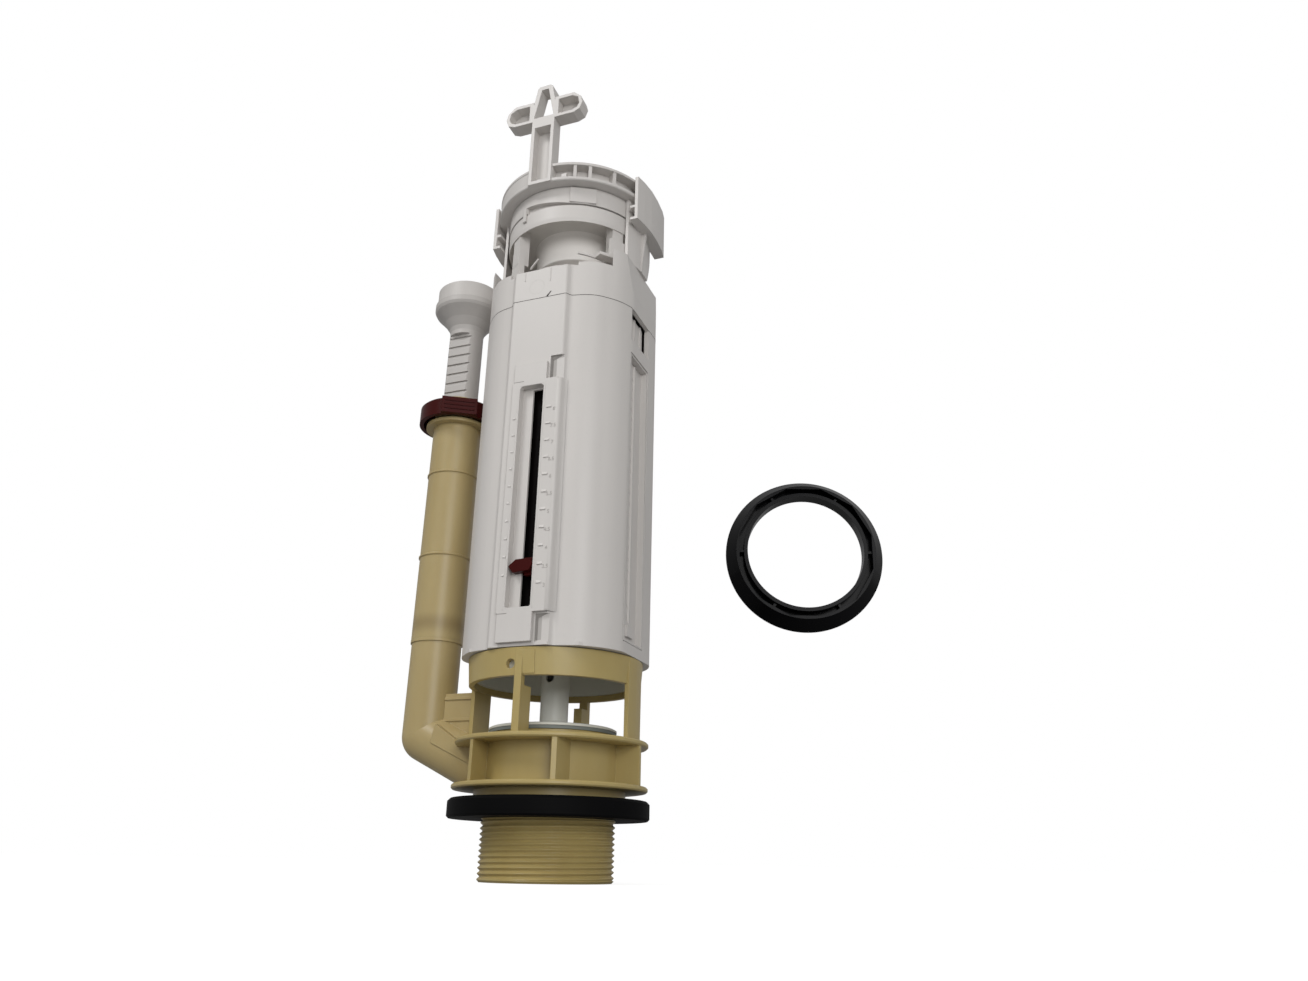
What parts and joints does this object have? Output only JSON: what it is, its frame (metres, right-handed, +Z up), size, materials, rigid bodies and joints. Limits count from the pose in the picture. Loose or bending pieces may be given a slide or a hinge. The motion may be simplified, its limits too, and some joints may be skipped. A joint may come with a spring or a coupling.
{
  "type": "toilet flush valve",
  "caption": "Tall white dual-flush cistern valve with a beige threaded outlet, side overflow pipe and lift handle, its black lock nut shown apart.",
  "frame": {"origin": "on the valve's axis at the underside of the sealing washer, the plane of the cistern floor", "axes": "+Z up along the valve's axis, -Y the side with the front scale and the handle's front, -X the side with the overflow pipe"},
  "size_m": [0.233, 0.1191, 0.4058],
  "materials": {
    "white": "satin light grey-white moulding",
    "riser_white": "satin, slightly see-through light grey",
    "beige": "satin see-through beige",
    "dark_red": "glossy dark red",
    "black_plastic": "glossy black",
    "black_strip": "matte black",
    "black_rubber": "matte black",
    "grey_rubber": "matte grey"
  },
  "bodies": {
    "base": {"outlet_base": "beige", "cage": "beige", "overflow_elbow": "beige", "overflow_standpipe": "beige", "sealing_washer": "black_rubber", "lock_nut": "black_plastic", "standpipe_seal": "black_rubber", "riser_seal": "black_rubber", "casing_shell": "white", "scale_panel": "white", "slot_liner": "black_strip", "side_scale": "white", "float_chamber": "white", "casing_cap": "white", "actuator_cup": "white", "guide_bush": "white", "top_frame": "white", "side_bracket_right": "white", "side_bracket_left": "white"},
    "flush_train": {"valve_stem": "white", "seal_plate": "white", "flat_seal": "grey_rubber", "seal_retainer": "white", "full_flush_float": "white", "lift_rod": "white"},
    "half_float": {"half_flush_float": "white"},
    "full_slider": {"full_flush_slider": "dark_red"},
    "half_slider": {"half_flush_slider": "white"},
    "riser": {"riser_tube": "riser_white", "funnel_rim": "riser_white"},
    "collar": {"lock_collar": "dark_red"},
    "bayonet": {"bayonet_ring": "white"}
  },
  "joints": [
    {"name": "flush_lift", "type": "slide", "parent": "base", "child": "flush_train", "axis": [0, 0, 1], "range_m": [0, 0.012]},
    {"name": "half_float_lift", "type": "slide", "parent": "base", "child": "half_float", "axis": [0, 0, 1], "range_m": [0, 0.012]},
    {"name": "full_flush_setting", "type": "slide", "parent": "base", "child": "full_slider", "axis": [0, 0, 1], "range_m": [-0.013, 0.084]},
    {"name": "half_flush_setting", "type": "slide", "parent": "base", "child": "half_slider", "axis": [0, 0, 1], "range_m": [0, 0.134]},
    {"name": "overflow_height", "type": "slide", "parent": "base", "child": "riser", "axis": [0, 0, 1], "range_m": [-0.0392, 0.028]},
    {"name": "collar_lock", "type": "hinge", "parent": "base", "child": "collar", "pos_m": [-0.0667, 0, 0.206], "axis": [0, 0, 1], "range_deg": [0, 40]},
    {"name": "bayonet_turn", "type": "hinge", "parent": "base", "child": "bayonet", "pos_m": [0, 0, 0.308], "axis": [0, 0, 1], "range_deg": [0, 20]}
  ]
}
